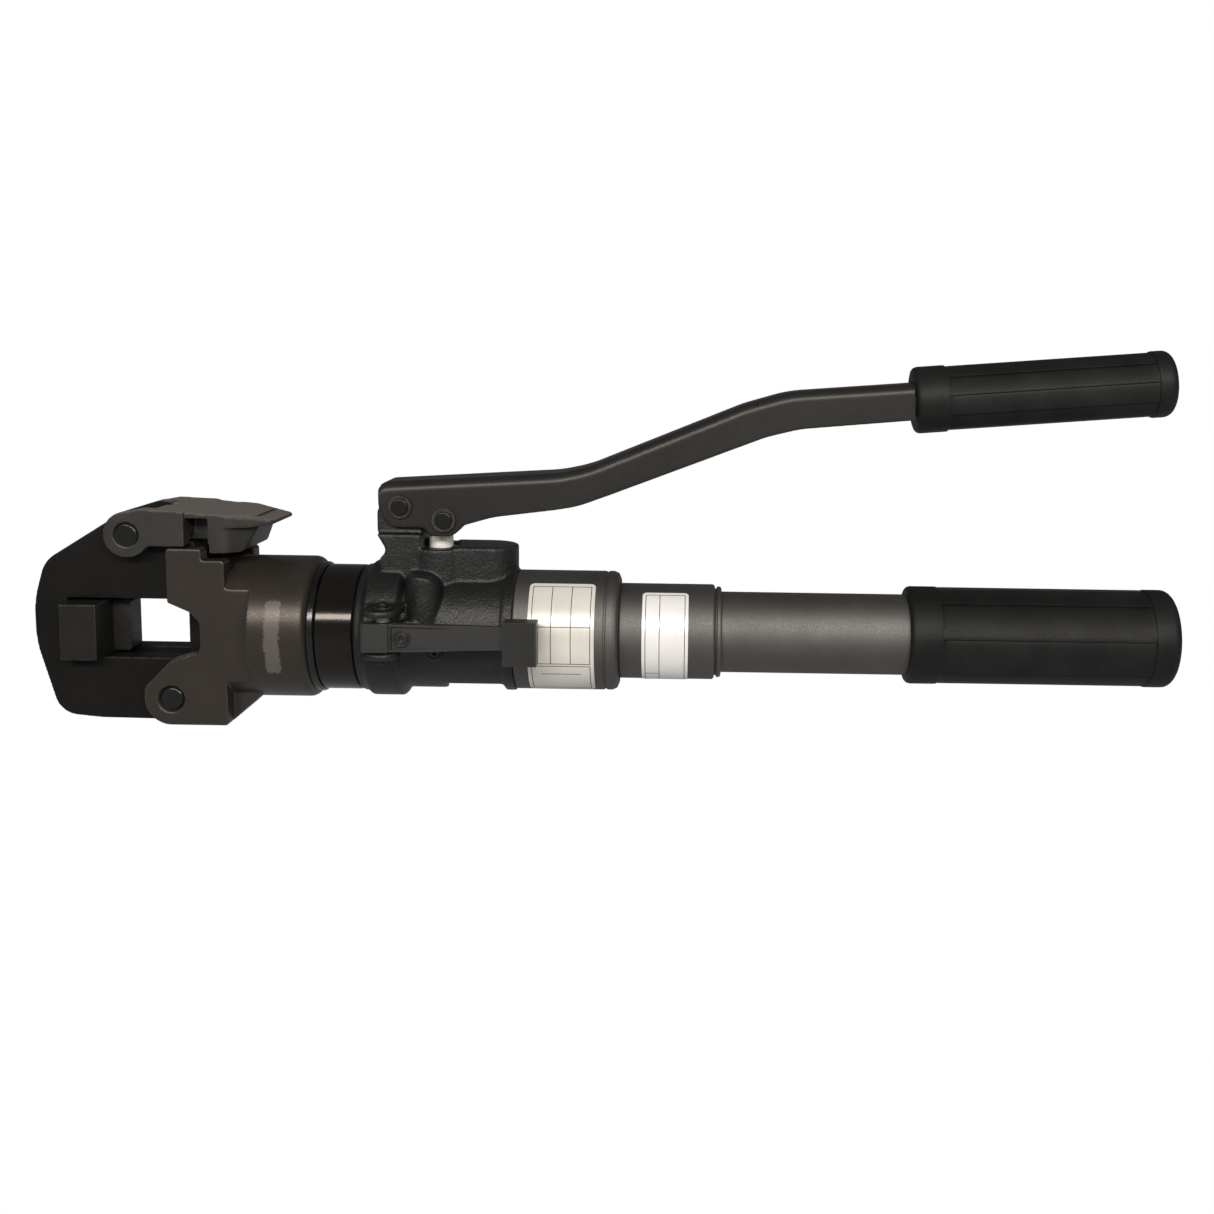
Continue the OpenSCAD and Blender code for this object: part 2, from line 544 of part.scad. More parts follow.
module latch() color(dark_steel) {
    p = latch_pivot;
    difference() {
        union() {
            for (side = [-1, 1]) {
                y = side * (cheek_half + slot_half) / 2;
                slab(y - (cheek_half - slot_half) / 2, y + (cheek_half - slot_half) / 2) {
                    translate(p) circle(r = latch_lobe_r);
                    polygon(rounded([[p.x, p.y, 0], [p.x + 7.5, p.y - 6.8, 0], [p.x + 9.6, 39.7, 1.5],
                        [ear_x1, 39.7, 1], [ear_x1, latch_top - 0.8, 1.5], [p.x + 6, latch_top, 6],
                        [p.x, p.y + latch_lobe_r, 0]]));
                }
            }
            slab(-slot_half - 0.1, slot_half + 0.1) polygon([[p.x + 11, 44], [ear_x1, 44],
                [ear_x1, latch_top - 1.2], [ear_x1 - 3, latch_top - 0.8], [p.x + 11, latch_top]]);
            slab(-hook_half, hook_half) polygon([[ear_x1 - 3, 52.4], [ear_x1 - 3, latch_top - 0.8],
                [hook_x0 + 2, 53.8], [hook_x0 + 2, 52.4]]);
            slab(-12, 12) polygon([[ear_x1 - 4, 41.5], [hook_x0 + 2, 41.5], [hook_x0 + 2, 53],
                [ear_x1 - 4, 53]]);
            intersection() {
                slab(-hook_half, hook_half) polygon(rounded([[hook_x0 - 0.6, 41.4, 0.5],
                [hook_x0, 40.8, 0.4],
                    [hook_x0, 36.7, 0.8], [hook_x1 - 1.7, 36.7, 3], [hook_x1 + 4.2, 48.6, 2],
                    [hook_x1 + 4.2, 53, 0], [hook_x0 - 0.6, 54.4, 0.6]]));
                latch_plan(hook_x0 + 7, hook_x1 + 3.8, 12, 2.5);
            }
            intersection() {
                slab(-hook_half, hook_half) polygon(rounded([[hook_x0 - 0.5, 48, 0], [hook_x1 + 3, 48, 2],
                    [tip_x, 49.2, 0.5], [tip_x, 50.8, 0.8], [hook_x0 + 6, 53.8, 4],
                    [hook_x0 - 0.5, 54.4, 0]]));
                latch_plan(hook_x0 + 9, tip_x, 14, 4);
            }
        }
        slab(-slot_half, slot_half) polygon([[horn_x1 + 2, 36], [hook_x0 - 1, 36], [hook_x0 - 1, 40],
            [horn_x1 + 2, 40]]);
        for (y = [-2, 18.5]) {
            box(p.x + 8.8, p.x + 14.8, y - 4, y + 4, latch_top - 0.6, latch_top + 1);
        }
        ycyl(pin_r + fit, -40, 40, p);
    }
}

// ---------------------------------------------------------------- pump lever

lever_top = [[fulcrum.x - 10, 68.4], [body_x1 + 19.5, 73.7], [body_x1 + 32.5, 76.6], [-34, 105.6],
    [-14, 111.6], [grip_x, 116.2]];
lever_low = [[grip_x, 99.8], [-9, 95], [-24, 91.2], [-92, 64.9], [body_x1 + 28, 58.9],
    [body_x1 + 18, 57.2], [-146, 53.5]];
module lever_outline() {
    polygon(rounded(concat([for (i = [0:len(lever_top) - 1]) [lever_top[i].x, lever_top[i].y,
            i == 0 ? 4 : (i == len(lever_top) - 1 ? 0 : 65)]],
        [for (i = [0:len(lever_low) - 1]) [lever_low[i].x, lever_low[i].y, i == 0 ? 0 : 50]],
        [[drive_pin.x + 8.5, 49.5, 6], [drive_pin.x + 3.5, 44.5, 5], [drive_pin.x - 6, 44.5, 5],
        [drive_pin.x - 9.5, 48.4, 3], [fulcrum.x - 5, 48.4, 7], [fulcrum.x - 10, 57, 9]])));
}
module lever_inside() polygon([for (p = lever_top) [p.x - (p == lever_top[0] ? 5 : 0), p.y - lever_wall],
    [grip_x, 60], [-90, 30], [fulcrum.x - 15, 30]]);
// Half width of the channel in plan, which narrows towards the grip
module lever_plan(half, tip) translate([0, 0, 30]) linear_extrude(100)
    polygon([[fulcrum.x - 20, -half], [-122, -half], [-25, -tip], [grip_x + 1, -tip],
        [grip_x + 1, tip], [-25, tip], [-122, half], [fulcrum.x - 20, half]]);
grip_axis = [grip_x, 108.2];
grip_tilt = 4.7;
module along_grip() translate([grip_axis.x, 0, grip_axis.y]) rotate([0, 90 - grip_tilt, 0]) children();

module pump_lever() color(lever_grey) difference() {
    union() {
        difference() {
            intersection() {
                slab(-20, 20) lever_outline();
                lever_plan(lever_half, 11);
            }
            intersection() {
                slab(-20, 20) lever_inside();
                lever_plan(lever_half - lever_wall, 11 - lever_wall);
            }
            along_grip() cylinder(r = 20, h = 5);
        }
        along_grip() translate([0, 0, -4]) cylinder(r = 8, h = lever_grip_len - 2);
    }
    ycyl(fulcrum_r + fit, -20, 20, fulcrum);
    ycyl(drive_pin_r, -20, 20, drive_pin);
}

module lever_grip() color(rubber) along_grip() rotate_extrude($fn = 96) polygon([
    [8, 0], [lever_grip_r - 1, 0], [lever_grip_r, 1], [lever_grip_r, 14], [lever_grip_r - 0.4, 14.6],
    [lever_grip_r - 0.4, lever_grip_len - 9.6], [lever_grip_r, lever_grip_len - 9],
    [lever_grip_r, lever_grip_len - 3],
    [lever_grip_r - 3, lever_grip_len], [0, lever_grip_len], [0, lever_grip_len - 6],
    [8, lever_grip_len - 6]]);

module plunger_pin() color(dark_steel) ycyl(drive_pin_r, -lever_half - 2.4, lever_half + 2.4, drive_pin);

module plunger_pin_clips() color(dark_steel) for (side = [-1, 1]) {
    difference() {
        ycyl(5.4, side * (lever_half + 1) - 0.5, side * (lever_half + 1) + 0.5, drive_pin);
        ycyl(drive_pin_r, -20, 20, drive_pin);
    }
}

module pump_plunger() color(bright) difference() {
    union() {
        zcyl(plunger_r, 9, 46, plunger_x);
        slab(-8, 8) polygon(rounded([[drive_pin.x - 10, 44.8, 2], [drive_pin.x + 4, 44.8, 1],
            [drive_pin.x + 7.5, 48.6, 1], [drive_pin.x + 7.5, 59, 3], [drive_pin.x - 10, 59, 3]]));
    }
    slab(-9, 9) translate([drive_pin.x - 1.4, drive_pin.y])
        square([2 * drive_pin_r + 4.6, 2 * drive_pin_r + 1], center = true);
}

// ---------------------------------------------------------------- release lever

// Side view of the arm, shrunk by edge on both long sides, from x0 to the pad
module release_arm(x0, edge) polygon([[x0, edge - 2.5], [x0, 10.1 - edge],
    [body_x0 + 69.5, 9.1 - edge], [body_x0 + 69.5, edge - 1.2]]);
module release_lever() color(black) {
    p = release_pivot;
    pad_x0 = body_x0 + 68.5;
    pad_len = 14.6;
    pad_face = p.y - 4.6;
    ridge_pitch = 0.9;
    groove_w = 0.4;
    groove_depth = 0.3;
    rim_face = p.y - 4.4;
    recess_face = p.y - 3.2;
    arm_face = p.y - 2.6;
    arm_back = p.y - 0.2;
    rim_end = stem.x + 28;
    difference() {
        union() {
            zcyl(5.6, -2.5, 10.1, p.x, p.y);
            translate([0, 0, -2.5]) linear_extrude(12.6) polygon(rounded([[p.x - 9.4, p.y + 1, 0],
                [p.x - 9.4, p.y - 5.6, 2.5], [p.x + 3.4, p.y - 5.6, 1.4], [p.x + 3.4, p.y + 1, 0]]));
            difference() {
                intersection() {
                    slab(rim_face, arm_back) release_arm(p.x, 0);
                    translate([0, 0, -5]) linear_extrude(20) polygon([[p.x, arm_back], [p.x, rim_face],
                        [stem.x + 12, rim_face], [rim_end, arm_face], [rim_end, arm_back]]);
                }
                slab(rim_face - 1, recess_face) release_arm(p.x + 4, 1.2);
            }
            slab(arm_face, arm_back) release_arm(p.x, 0);
            box(pad_x0, pad_x0 + pad_len, pad_face, p.y + 4, -8, 11.5);
        }
        for (x = [pad_x0 + 0.6:ridge_pitch:pad_x0 + pad_len - 0.9])
            box(x, x + groove_w, pad_face - 1, pad_face + groove_depth, -9, 12.5);
        zcyl(release_pin_r + fit, -10, 20, p.x, p.y);
        ycyl(2.4, p.y - 5, p.y + 2, stem);
    }
}

module release_adjuster_screw() color(dark_steel) difference() {
    y = release_pivot.y;
    union() {
        ycyl(2.4, y - 4.6, y + 4.2, stem);
        difference() {
            ycyl(3.8, y - 4.2, y - 3.2, stem);
            ycyl(3, y - 5, y - 3.8, stem);
        }
    }
    slab(y - 6, y - 3.4) translate(stem) polygon([for (a = [0:60:300]) 1.3 * [cos(a), sin(a)]]);
}

module release_stem() color(bright) ycyl(stem_r, release_pivot.y + 4.5, -18.8, stem);

pump_body();
cylinder_barrel();
barrel_seal();
reservoir_shell();
reservoir_seal();
reservoir_bladder();
bladder_clamp();
suction_filter();
handle_socket();
socket_ring();
handle_tube();
tube_plug();
main_grip();
rating_plate();
caution_plate();
fulcrum_pin();
fulcrum_clips();
plunger_gland();
plunger_seal();
valve_balls();
valve_springs();
valve_plugs();
relief_poppet();
relief_spring();
relief_adjuster();
release_ball();
release_ball_spring();
release_pivot_pin();
release_pivot_clips();
release_torsion_spring();
filler_screw();
head_yoke();
dust_seal();
retaining_ring();
rod_bush();
return_spring();
hinge_pin();
ram_piston();
piston_seal();
moving_blade();
blade_pin();
jaw();
anvil_block();
fixed_blade();
anvil_screws();
latch_pin();
latch();
pump_lever();
lever_grip();
plunger_pin();
plunger_pin_clips();
pump_plunger();
release_lever();
release_adjuster_screw();
release_stem();
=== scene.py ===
import json
import math

import bmesh
import bpy
from mathutils import Matrix, Vector


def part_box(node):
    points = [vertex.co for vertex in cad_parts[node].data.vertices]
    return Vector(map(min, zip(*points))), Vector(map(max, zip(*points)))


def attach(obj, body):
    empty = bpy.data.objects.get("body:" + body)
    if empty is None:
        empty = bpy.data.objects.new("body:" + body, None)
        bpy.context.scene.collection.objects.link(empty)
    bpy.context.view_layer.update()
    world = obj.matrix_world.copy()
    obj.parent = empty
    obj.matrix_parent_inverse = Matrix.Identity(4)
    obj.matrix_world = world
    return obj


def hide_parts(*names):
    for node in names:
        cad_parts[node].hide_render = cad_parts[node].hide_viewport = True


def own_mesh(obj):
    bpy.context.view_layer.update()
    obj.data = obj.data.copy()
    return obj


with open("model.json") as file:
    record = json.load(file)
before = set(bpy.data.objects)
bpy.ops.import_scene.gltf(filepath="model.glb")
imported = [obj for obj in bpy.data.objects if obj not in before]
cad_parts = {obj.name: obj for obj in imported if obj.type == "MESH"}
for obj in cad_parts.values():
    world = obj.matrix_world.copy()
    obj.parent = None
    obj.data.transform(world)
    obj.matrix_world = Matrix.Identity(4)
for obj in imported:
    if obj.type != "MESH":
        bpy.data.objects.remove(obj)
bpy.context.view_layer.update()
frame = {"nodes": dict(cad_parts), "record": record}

MM = 0.001
MERGE_DISTANCE = 0.002 * MM
INK_THICKNESS = 0.02 * MM
INK_LIFT = 0.285 * MM
PLATE_THICKNESS = 0.28 * MM
LINE_WIDTH = 0.32 * MM
scene = bpy.context.scene


# ---------------------------------------------------------------- materials

def nodes_of(name):
    mat = bpy.data.materials.new(name)
    mat.use_nodes = True
    tree = mat.node_tree
    shader = tree.nodes["Principled BSDF"]
    place = tree.nodes.new("ShaderNodeTexCoord").outputs["Object"]
    return mat, tree, shader, place


def noise(tree, place, scale, detail=3.0, rough=0.5):
    node = tree.nodes.new("ShaderNodeTexNoise")
    node.inputs["Scale"].default_value = scale
    node.inputs["Detail"].default_value = detail
    node.inputs["Roughness"].default_value = rough
    tree.links.new(place, node.inputs["Vector"])
    return node.outputs["Fac"]


def ranged(tree, value, low, high, out_low, out_high):
    node = tree.nodes.new("ShaderNodeMapRange")
    limits = (("From Min", low), ("From Max", high), ("To Min", out_low), ("To Max", out_high))
    for key, number in limits:
        node.inputs[key].default_value = number
    tree.links.new(value, node.inputs["Value"])
    return node.outputs["Result"]


def mixed(tree, fac, a, b):
    node = tree.nodes.new("ShaderNodeMix")
    node.data_type = "RGBA"
    tree.links.new(fac, node.inputs["Factor"])
    for key, colour in (("A", a), ("B", b)):
        socket = [s for s in node.inputs if s.name == key and s.type == "RGBA"][0]
        if isinstance(colour, tuple):
            socket.default_value = (*colour, 1)
        else:
            tree.links.new(colour, socket)
    return [s for s in node.outputs if s.type == "RGBA"][0]


def bumped(tree, shader, heights):
    normal = None
    for height, strength, distance in heights:
        node = tree.nodes.new("ShaderNodeBump")
        node.inputs["Strength"].default_value = strength
        node.inputs["Distance"].default_value = distance
        tree.links.new(height, node.inputs["Height"])
        if normal is not None:
            tree.links.new(normal, node.inputs["Normal"])
        normal = node.outputs["Normal"]
    tree.links.new(normal, shader.inputs["Normal"])


def finish(name, low, high, rough, metal=0.0, spec=0.5, grain=900.0, bump=0.2, depth=0.08 * MM,
           edge_wear_and_sheen=None, spread=0.08, tint=(1.0, 1.0, 1.0), stretch=None):
    """Coated or bare metal: blotches of two colours, pale worn edges (on the lever's paint partly a
    painted highlight), uneven gloss and a fine grain.
    """
    mat, tree, shader, place = nodes_of(name)
    if stretch:
        mapping = tree.nodes.new("ShaderNodeMapping")
        mapping.inputs["Scale"].default_value = stretch
        tree.links.new(place, mapping.inputs["Vector"])
        fine_place = mapping.outputs["Vector"]
    else:
        fine_place = place
    patches = ranged(tree, noise(tree, place, 45.0, 5.0, 0.6), 0.35, 0.65, 0.0, 1.0)
    colour = mixed(tree, patches, low, high)
    fine = noise(tree, fine_place, grain, 4.0, 0.6)
    # pale colour on convex edges: real wear, and on the lever's paint also a painted highlight
    # along its rounded top edge
    if edge_wear_and_sheen:
        edge = tree.nodes.new("ShaderNodeNewGeometry").outputs["Pointiness"]
        chips = ranged(tree, noise(tree, place, 260.0, 4.0, 0.7), 0.4, 0.62, 0.0, 1.0)
        rim = ranged(tree, edge, 0.515, 0.56, 0.0, 1.0)
        both = tree.nodes.new("ShaderNodeMath")
        both.operation = "MULTIPLY"
        tree.links.new(rim, both.inputs[0])
        tree.links.new(chips, both.inputs[1])
        colour = mixed(tree, both.outputs["Value"], colour, edge_wear_and_sheen)
    tree.links.new(colour, shader.inputs["Base Color"])
    gloss = ranged(tree, fine, 0.3, 0.7, rough - spread, rough + spread)
    tree.links.new(gloss, shader.inputs["Roughness"])
    shader.inputs["Metallic"].default_value = metal
    shader.inputs["Specular IOR Level"].default_value = spec
    shader.inputs["Specular Tint"].default_value = (*tint, 1)
    coarse = noise(tree, place, grain / 6, 2.0)
    bumped(tree, shader, [(fine, bump, depth), (coarse, bump * 0.6, depth * 2)])
    return mat


def worn_flange():
    """The head's warm grey finish, with a pale rubbed patch on the front of its flange."""
    mat = finish("head_finish", (0.0215, 0.0180, 0.0150), (0.0255, 0.0215, 0.0180), 0.35, spec=0.52,
                 grain=1500, bump=0.16, edge_wear_and_sheen=(0.06, 0.055, 0.05), tint=(1.0, 0.89, 0.80))
    middle_and_half = (("X", -0.2409, 0.0036), ("Z", 0.0005, 0.0165), ("Y", -0.0290, 0.0120))
    rubbed = (0.100, 0.088, 0.076)
    ragged = 0.6 * MM
    fade = 0.7 * MM
    tree = mat.node_tree
    shader = tree.nodes["Principled BSDF"]
    place = tree.nodes["Texture Coordinate"].outputs["Object"]
    parts = tree.nodes.new("ShaderNodeSeparateXYZ")
    tree.links.new(place, parts.inputs["Vector"])
    jitter = ranged(tree, noise(tree, place, 700, 3.0), 0.3, 0.7, -ragged, ragged)
    masks = []
    for axis, middle, half in middle_and_half:
        off = tree.nodes.new("ShaderNodeMath")
        off.operation = "SUBTRACT"
        tree.links.new(parts.outputs[axis], off.inputs[0])
        off.inputs[1].default_value = middle
        size = tree.nodes.new("ShaderNodeMath")
        size.operation = "ABSOLUTE"
        tree.links.new(off.outputs["Value"], size.inputs[0])
        shaky = tree.nodes.new("ShaderNodeMath")
        shaky.operation = "ADD"
        tree.links.new(size.outputs["Value"], shaky.inputs[0])
        tree.links.new(jitter, shaky.inputs[1])
        masks.append(ranged(tree, shaky.outputs["Value"], half - fade, half, 1.0, 0.0))
    patch = masks[0]
    for other in masks[1:]:
        node = tree.nodes.new("ShaderNodeMath")
        node.operation = "MULTIPLY"
        tree.links.new(patch, node.inputs[0])
        tree.links.new(other, node.inputs[1])
        patch = node.outputs["Value"]
    base = shader.inputs["Base Color"].links[0].from_socket
    tree.links.new(mixed(tree, patch, base, rubbed), shader.inputs["Base Color"])
    return mat


def painted_top_light(mat, colour):
    """Faces that look up at rest are painted paler: a painted highlight standing in for the light
    falling on them from above.
    """
    tree = mat.node_tree
    shader = tree.nodes["Principled BSDF"]
    parts = tree.nodes.new("ShaderNodeSeparateXYZ")
    tree.links.new(tree.nodes["Texture Coordinate"].outputs["Normal"], parts.inputs["Vector"])
    up = ranged(tree, parts.outputs["Z"], 0.55, 0.92, 0.0, 1.0)
    base = shader.inputs["Base Color"].links[0].from_socket
    tree.links.new(mixed(tree, up, base, colour), shader.inputs["Base Color"])


def rubber(name, colour, rough, grain, bump, depth, spec):
    """Moulded rubber, dusty in places, with a fine grain."""
    mat, tree, shader, place = nodes_of(name)
    dust = ranged(tree, noise(tree, place, 60, 4.0, 0.6), 0.4, 0.75, 0.0, 1.0)
    dusty = tuple(c * 1.5 + 0.002 for c in colour)
    tree.links.new(mixed(tree, dust, colour, dusty), shader.inputs["Base Color"])
    fine = noise(tree, place, grain, 3.0, 0.6)
    gloss = ranged(tree, fine, 0.3, 0.7, rough - 0.06, rough + 0.08)
    tree.links.new(gloss, shader.inputs["Roughness"])
    shader.inputs["Specular IOR Level"].default_value = spec
    bumped(tree, shader, [(fine, bump, depth)])
    return mat


def foil(name, low, high):
    """Silver foil with a warm cast, faint vertical brushing and small scuffs."""
    mat, tree, shader, place = nodes_of(name)
    mapping = tree.nodes.new("ShaderNodeMapping")
    mapping.inputs["Scale"].default_value = (2600, 60, 60)
    tree.links.new(place, mapping.inputs["Vector"])
    lines = noise(tree, mapping.outputs["Vector"], 1.0, 3.0)
    cast = ranged(tree, noise(tree, place, 38, 3.0), 0.35, 0.7, 0.0, 1.0)
    tree.links.new(mixed(tree, cast, low, high), shader.inputs["Base Color"])
    tree.links.new(ranged(tree, lines, 0.3, 0.7, 0.26, 0.40), shader.inputs["Roughness"])
    shader.inputs["Metallic"].default_value = 0.15
    bumped(tree, shader, [(lines, 0.12, 0.04 * MM)])
    return mat


finishes = {
    "cast_black": finish(
        "cast_black", (0.0075, 0.0075, 0.0075), (0.011, 0.011, 0.0107), 0.41, spec=0.44,
        grain=1000, bump=0.8, depth=0.35 * MM, edge_wear_and_sheen=(0.045, 0.045, 0.043), spread=0.10),
    "jaw_black": finish(
        "jaw_black", (0.0055, 0.0052, 0.0047), (0.0085, 0.008, 0.0072), 0.50, spec=0.14,
        grain=1800, bump=0.25, depth=0.1 * MM, edge_wear_and_sheen=(0.035, 0.033, 0.030)),
    "blackened_steel": finish(
        "blackened_steel", (0.148, 0.139, 0.131), (0.172, 0.163, 0.154), 0.63, metal=1.0,
        grain=1700, bump=0.14),
    "polished_black": finish(
        "polished_black", (0.0055, 0.0052, 0.005), (0.0065, 0.0062, 0.006), 0.13, spec=0.42,
        grain=2400, bump=0.03, spread=0.03, stretch=(0.12, 1, 1), tint=(1.0, 0.91, 0.78)),
    # the lever paint's pale edge colour is partly wear and partly a painted highlight along the
    # lever's rounded top edge
    "lever_paint": finish(
        "lever_paint", (0.0135, 0.0131, 0.0126), (0.018, 0.0176, 0.017), 0.38, spec=0.38,
        grain=2100, bump=0.12, edge_wear_and_sheen=(0.06, 0.052, 0.042), tint=(1.0, 0.93, 0.86)),
    "black_oxide": finish(
        "black_oxide", (0.014, 0.0135, 0.0125), (0.020, 0.0193, 0.018), 0.26, spec=0.6,
        grain=1600, bump=0.12),
    "blade_steel": finish(
        "blade_steel", (0.020, 0.019, 0.0175), (0.035, 0.033, 0.030), 0.40, metal=0.3, spec=0.4,
        grain=900, bump=0.2, stretch=(1, 0.15, 1)),
    "ground_steel": finish(
        "ground_steel", (0.90, 0.86, 0.80), (0.96, 0.92, 0.87), 0.30, metal=0.1,
        grain=2200, bump=0.08, stretch=(1, 1, 0.1), spread=0.06),
    "spring_steel": finish(
        "spring_steel", (0.20, 0.20, 0.19), (0.30, 0.30, 0.29), 0.32, metal=0.8,
        grain=1800, bump=0.1),
    "bronze": finish(
        "bronze", (0.42, 0.27, 0.12), (0.52, 0.35, 0.17), 0.34, metal=0.9,
        grain=1500, bump=0.1),
    "seal_rubber": rubber(
        "seal_rubber", (0.004, 0.004, 0.004), 0.17,
        grain=1200, bump=0.1, depth=0.05 * MM, spec=0.55),
    "grip_rubber": rubber(
        "grip_rubber", (0.0075, 0.0075, 0.0073), 0.53,
        grain=1500, bump=0.35, depth=0.1 * MM, spec=0.22),
    "plate_foil": foil("plate_foil", (0.80, 0.77, 0.71), (0.70, 0.66, 0.59)),
}
head_finish = worn_flange()
forged = finish(
    "forged_edges", (0.020, 0.0182, 0.0165), (0.032, 0.029, 0.026), 0.45, spec=0.42,
    grain=1700, bump=0.14, edge_wear_and_sheen=(0.07, 0.064, 0.058))
# painted light: the latch's upward faces get a paler colour for the light from above
painted_top_light(forged, (0.165, 0.145, 0.125))
anvil_finish = finish(
    "anvil_finish", (0.010, 0.0095, 0.0086), (0.014, 0.0132, 0.012), 0.46, spec=0.26,
    grain=1700, bump=0.14, edge_wear_and_sheen=(0.06, 0.055, 0.05))
paper = foil("plate_paper", (0.95, 0.93, 0.90), (0.88, 0.86, 0.82))
pressed = finish(
    "pressed_black", (0.026, 0.0257, 0.0245), (0.034, 0.0335, 0.032), 0.42, spec=0.42,
    grain=1900, bump=0.14)
pin_black = finish(
    "pin_black", (0.0045, 0.0043, 0.004), (0.0075, 0.0072, 0.0068), 0.24, spec=0.5,
    grain=1500, bump=0.12, spread=0.06)
ink = finish(
    "plate_ink", (0.012, 0.013, 0.018), (0.020, 0.021, 0.028), 0.45,
    grain=2500, bump=0.05)
slots = {s["node"]: s["material_slot"] for s in frame["record"]["subparts"]}
home = {n: b for b, members in frame["record"]["behaviour"]["bodies"].items() for n in members}


def coat(obj, *mats):
    obj.data.materials.clear()
    for mat in mats:
        obj.data.materials.append(mat)


special = {"head_yoke": head_finish, "latch": forged, "anvil_block": anvil_finish,
           "release_lever": pressed}
pins = ("hinge_pin", "latch_pin", "fulcrum_pin", "plunger_pin", "release_pivot_pin")
special.update({pin: pin_black for pin in pins})
special.update({clip: finishes["lever_paint"] for clip in ("fulcrum_clips", "plunger_pin_clips")})
for node, obj in frame["nodes"].items():
    coat(obj, special.get(node, finishes[slots[node]]))


# ---------------------------------------------------------------- pieces

def settled(obj, body, slot, *mats, replaced=()):
    """Give a piece its material (by default the finish of its slot), the body it rides on, and hide
    the CAD nodes it replaces.
    """
    coat(obj, *(mats or (finishes[slot],)))
    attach(obj, body)
    if replaced:
        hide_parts(*replaced)
    return obj


def stand_in(obj, node):
    """A finer form of one CAD node, with that node's body and material; the node itself is hidden.
    """
    return settled(obj, home[node], slots[node], frame["nodes"][node].data.materials[0],
                   replaced=[node])


def linked(name, mesh):
    obj = bpy.data.objects.new(name, mesh)
    scene.collection.objects.link(obj)
    return obj


def applied(obj):
    """Turn a piece's modifiers into plain mesh."""
    evaluated = obj.evaluated_get(bpy.context.evaluated_depsgraph_get())
    mesh = bpy.data.meshes.new_from_object(evaluated)
    obj.modifiers.clear()
    obj.data = mesh
    return obj


def cad_copy(node, name):
    mesh = frame["nodes"][node].data.copy()
    bm = bmesh.new()
    bm.from_mesh(mesh)
    bmesh.ops.remove_doubles(bm, verts=bm.verts, dist=MERGE_DISTANCE)
    bmesh.ops.dissolve_limit(bm, angle_limit=math.radians(0.4), verts=bm.verts, edges=bm.edges)
    bm.to_mesh(mesh)
    bm.free()
    return linked(name, mesh)


def softened(node, width, segments=2, angle=32):
    """A machined part with its edges broken by a small round bevel."""
    piece = cad_copy(node, node + "_fine")
    bevel = piece.modifiers.new("edges", "BEVEL")
    bevel.width = width
    bevel.segments = segments
    bevel.limit_method = "ANGLE"
    bevel.angle_limit = math.radians(angle)
    bevel.use_clamp_overlap = False
    bevel.miter_outer = "MITER_ARC"
    applied(piece)
    piece.data.shade_smooth()
    weighted = piece.modifiers.new("normals", "WEIGHTED_NORMAL")
    weighted.keep_sharp = False
    applied(piece)
    return stand_in(piece, node)


def cast(node, voxel, rounds):
    """A forged or cast part: its whole skin softened, so inner corners get fillets too."""
    piece = linked(node + "_fine", frame["nodes"][node].data.copy())
    remesh = piece.modifiers.new("skin", "REMESH")
    remesh.mode = "VOXEL"
    remesh.voxel_size = voxel
    smooth = piece.modifiers.new("soft", "SMOOTH")
    smooth.factor = 0.5
    smooth.iterations = rounds
    applied(piece)
    piece.data.shade_smooth()
    return stand_in(piece, node)


def ring_mesh(name, rings):
    """A skin over rings of points of equal length, with the last ring joined back to the first."""
    bm = bmesh.new()
    rows = [[bm.verts.new(p) for p in ring] for ring in rings]
    count = len(rows[0])
    for a, b in zip(rows, rows[1:] + rows[:1]):
        for i in range(count):
            j = (i + 1) % count
            bm.faces.new((a[i], a[j], b[j], b[i]))
    bmesh.ops.recalc_face_normals(bm, faces=bm.faces)
    mesh = bpy.data.meshes.new(name)
    bm.to_mesh(mesh)
    bm.free()
    return linked(name, mesh)


